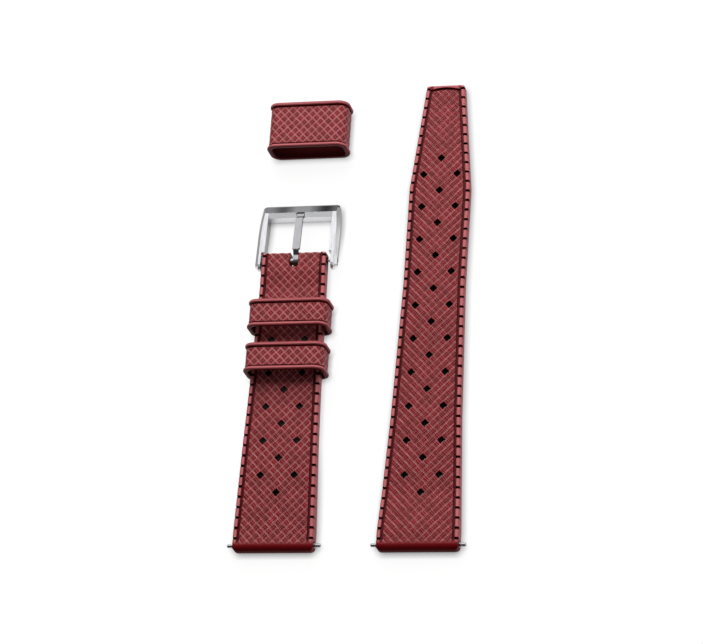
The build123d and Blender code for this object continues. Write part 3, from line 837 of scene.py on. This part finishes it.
make_keeper("moulded_keeper_upper", "keeper_upper", foot_radius=1.9, inner_foot_radius=0.3)
make_keeper("moulded_keeper_lower", "keeper_lower", foot_radius=1.9, inner_foot_radius=0.3)
make_keeper("moulded_keeper_spare", "keeper_spare", foot_radius=2.25, inner_foot_radius=1.45)

# The buckle's frame is machined from stainless steel: brushed along its arms, mirror-polished on the far
# bar's bevel, whose dark colour is a painted reflection, and satin on the inner faces, whose pale colour is
# painted light. It turns on the tips of its spring bar, which snap into its ears. The finishes are told apart
# by how far a face looks along Y, to the far end, and along Z, up.
polished_from = 0.2
upward_from = 0.5
inward_from = -0.2
reflection_patches_per_mm = 0.15


def steel_material(name, color, roughness, strokes_per_mm, stroke_depth):
    """Brushed or turned stainless steel, whose strokes, counted along X, Y and Z, draw its highlights out
    into streaks. Real ones are a few hundredths of a millimetre wide, too fine to show, so these are drawn
    coarser. Also returns the shader and the output, for other finishes to be mixed in."""
    material, tree = new_material(name)
    smoothest, roughest = 0.85, 1.2
    spread = [count / MM for count in strokes_per_mm]
    place = add_node(tree, "ShaderNodeTexCoord").outputs["Object"]
    place = add_node(tree, "ShaderNodeMapping", {}, {"Vector": place, "Scale": spread})
    grain = add_node(tree, "ShaderNodeTexNoise", {}, {"Vector": place, "Scale": 1.0, "Detail": 2.0})
    rough = add_node(tree, "ShaderNodeMapRange", {},
                     {"Value": grain, "From Min": 0.3, "From Max": 0.7, "To Min": roughness * smoothest,
                      "To Max": roughness * roughest})
    bump = add_node(tree, "ShaderNodeBump", {},
                    {"Strength": 0.4, "Distance": MM * stroke_depth, "Height": grain})
    steel = add_node(tree, "ShaderNodeBsdfPrincipled", {},
                     {"Base Color": hex_color(color), "Metallic": 1.0, "Roughness": rough, "Normal": bump})
    output = add_node(tree, "ShaderNodeOutputMaterial", {}, {"Surface": steel})
    return material, steel, output


# The polished bevel's colour is a painted reflection: the dark of the room as slow smoky patches, a few
# millimetres across.
frame_steel, brushed, output = steel_material("brushed_steel_polished_bevel", "#909092", roughness=0.34,
                                              strokes_per_mm=(3, 0.15, 3), stroke_depth=0.0004)
tree = frame_steel.node_tree
facing = add_node(tree, "ShaderNodeNewGeometry").outputs["True Normal"]
facing = add_node(tree, "ShaderNodeSeparateXYZ", {}, {0: facing})
far_side = add_node(tree, "ShaderNodeMath", {"operation": "GREATER_THAN"},
                    {0: facing.outputs["Y"], 1: polished_from})
upward = add_node(tree, "ShaderNodeMath", {"operation": "GREATER_THAN"},
                  {0: facing.outputs["Z"], 1: upward_from})
bevel = add_node(tree, "ShaderNodeMath", {"operation": "MULTIPLY"}, {0: far_side, 1: upward})
reflection_patches = add_node(tree, "ShaderNodeTexCoord").outputs["Object"]
reflection_patches = add_node(tree, "ShaderNodeMapping", {}, {"Vector": reflection_patches, "Scale": (reflection_patches_per_mm / MM, 0, 0)})
reflection_patches = add_node(tree, "ShaderNodeTexNoise", {}, {"Vector": reflection_patches, "Scale": 1.0, "Detail": 0.0})
reflection_patches = add_node(tree, "ShaderNodeMapRange", {}, {"Value": reflection_patches, "From Min": 0.35, "From Max": 0.65})
reflection_patches = add_node(tree, "ShaderNodeMix", {"data_type": "RGBA"},
                 {"Factor": reflection_patches, "A": hex_color("#0a0a0c"), "B": hex_color("#505052")})
mirror = add_node(tree, "ShaderNodeBsdfPrincipled", {},
                  {"Base Color": reflection_patches.outputs["Result"], "Metallic": 1.0, "Roughness": 0.12})
steel = add_node(tree, "ShaderNodeMixShader", {}, {0: bevel, 1: brushed, 2: mirror})
# Painted light: faces that look back along Y get a pale satin colour, brighter than the brushed steel.
inward = add_node(tree, "ShaderNodeMath", {"operation": "LESS_THAN"},
                  {0: facing.outputs["Y"], 1: inward_from})
satin_painted_light = add_node(tree, "ShaderNodeBsdfPrincipled", {},
                 {"Base Color": hex_color("#f0f0f2"), "Metallic": 1.0, "Roughness": 0.5})
steel = add_node(tree, "ShaderNodeMixShader", {}, {0: inward, 1: steel, 2: satin_painted_light})
tree.links.new(steel.outputs[0], output.inputs["Surface"])
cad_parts["buckle_frame"].material_slots[0].material = frame_steel

# The tongue is a strip of stainless steel, stamped out, bent, brushed along its length and rolled into a loop
# round the buckle's bar, on which it swings.
tongue_steel, _, _ = steel_material("brushed_steel_strip", "#767678", roughness=0.36,
                                    strokes_per_mm=(5, 0.12, 5), stroke_depth=0.001)
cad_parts["buckle_tongue"].material_slots[0].material = tongue_steel

# Each of the three spring bars is a rolled steel tube with two turned pins, pushed out by a coil spring of
# drawn wire inside. The pins' tips hold the strap between a watch's lugs, and the buckle on the strap.
bar_steel, _, _ = steel_material("turned_steel", "#909092", roughness=0.3,
                                 strokes_per_mm=(8, 0.3, 0.3), stroke_depth=0.002)
spring_steel, _, _ = steel_material("drawn_spring_steel", "#a8a8aa", roughness=0.35,
                                    strokes_per_mm=(14, 0.4, 0.4), stroke_depth=0.003)
for name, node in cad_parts.items():
    if "bar_" in name:
        node.material_slots[0].material = spring_steel if name.endswith("spring") else bar_steel
